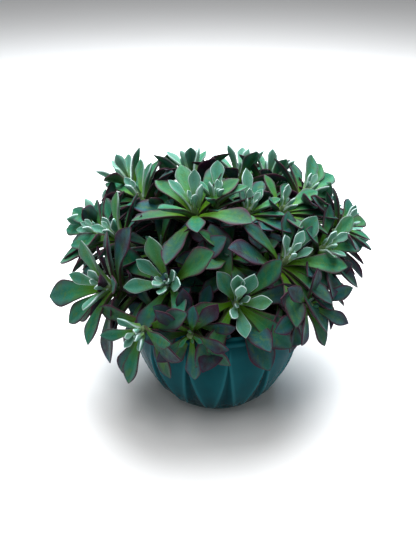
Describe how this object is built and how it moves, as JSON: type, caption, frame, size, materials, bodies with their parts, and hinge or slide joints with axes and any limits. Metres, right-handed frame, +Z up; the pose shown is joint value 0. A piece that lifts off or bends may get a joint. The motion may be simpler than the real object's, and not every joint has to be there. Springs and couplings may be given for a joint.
{
  "type": "potted echeveria",
  "caption": "Clump of fleshy blue-green leaf rosettes on short stems, growing in a round glazed bowl planter filled with potting mix.",
  "frame": {"origin": "centre of the pot's foot, on the floor", "axes": "+Z up along the pot's axis, -Y towards the side with the lowest, fullest shoots, +X to the right of that side"},
  "size_m": [0.3065, 0.2649, 0.2291],
  "materials": {
    "glaze": "gloss glaze, dark teal",
    "potting_mix": "crumbly matte",
    "leaf": "fleshy leaf with a soft matte bloom"
  },
  "bodies": {
    "root": {"pot": "glaze", "potting_mix": "potting_mix", "shoot_01": "leaf", "shoot_02": "leaf", "shoot_03": "leaf", "shoot_04": "leaf", "shoot_05": "leaf", "shoot_06": "leaf", "shoot_07": "leaf", "shoot_08": "leaf", "shoot_09": "leaf", "shoot_10": "leaf", "shoot_11": "leaf", "shoot_12": "leaf", "shoot_13": "leaf", "shoot_14": "leaf", "shoot_15": "leaf", "shoot_16": "leaf", "shoot_17": "leaf", "shoot_18": "leaf", "shoot_19": "leaf", "shoot_20": "leaf", "shoot_21": "leaf", "shoot_22": "leaf", "shoot_23": "leaf", "shoot_24": "leaf", "shoot_25": "leaf", "shoot_26": "leaf", "shoot_27": "leaf", "shoot_28": "leaf", "shoot_29": "leaf", "shoot_30": "leaf", "shoot_31": "leaf", "shoot_32": "leaf", "shoot_33": "leaf", "shoot_34": "leaf", "shoot_35": "leaf", "shoot_36": "leaf", "shoot_37": "leaf"}
  },
  "joints": []
}
